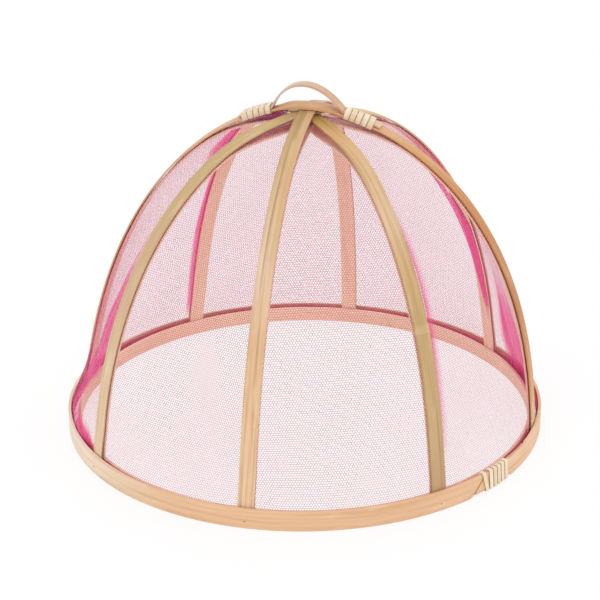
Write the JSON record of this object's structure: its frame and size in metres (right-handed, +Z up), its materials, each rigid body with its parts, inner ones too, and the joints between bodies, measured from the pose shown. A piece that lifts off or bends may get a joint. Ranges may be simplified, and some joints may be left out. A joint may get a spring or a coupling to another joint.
{
  "type": "food cover dome",
  "caption": "Domed food cover: a fine net clamped between crossing bamboo laths and two rim hoops, with a cane-bound lifting handle on the crown; keeps insects off food",
  "frame": {"origin": "middle of the rim's underside, on the table surface", "axes": "+Z up through the crown, -Y to the front of the picture, +X to its right"},
  "size_m": [0.36, 0.36, 0.264],
  "materials": {
    "hoop_bamboo": "natural split bamboo, satin",
    "lath_bamboo": "natural split bamboo with its skin, satin",
    "inner_bamboo": "natural split bamboo, matt",
    "net": "fine open mosquito net, matt pink thread",
    "handle_cane": "split cane, satin",
    "binding_cane": "flat peeled cane, satin",
    "brad": "dark oxidised wire brad"
  },
  "bodies": {
    "root": {"outer_hoop": "hoop_bamboo", "inner_hoop": "inner_bamboo", "outer_lath_side": "lath_bamboo", "outer_lath_centre": "lath_bamboo", "outer_lath_left_diagonal": "lath_bamboo", "outer_lath_right_diagonal": "lath_bamboo", "inner_lath_side": "inner_bamboo", "inner_lath_centre": "inner_bamboo", "inner_lath_left_diagonal": "inner_bamboo", "inner_lath_right_diagonal": "inner_bamboo", "net_left_front": "net", "net_centre_front": "net", "net_right_front": "net", "net_right": "net", "net_back_right": "net", "net_back_centre": "net", "net_back_left": "net", "net_left": "net", "handle": "handle_cane", "handle_binding_left": "binding_cane", "handle_binding_right": "binding_cane", "hoop_binding": "binding_cane", "rim_pin_left_front": "brad", "rim_pin_centre_front": "brad", "rim_pin_right_front": "brad", "rim_pin_right": "brad", "rim_pin_back_right": "brad", "rim_pin_back_centre": "brad", "rim_pin_back_left": "brad", "rim_pin_left": "brad"}
  },
  "joints": []
}
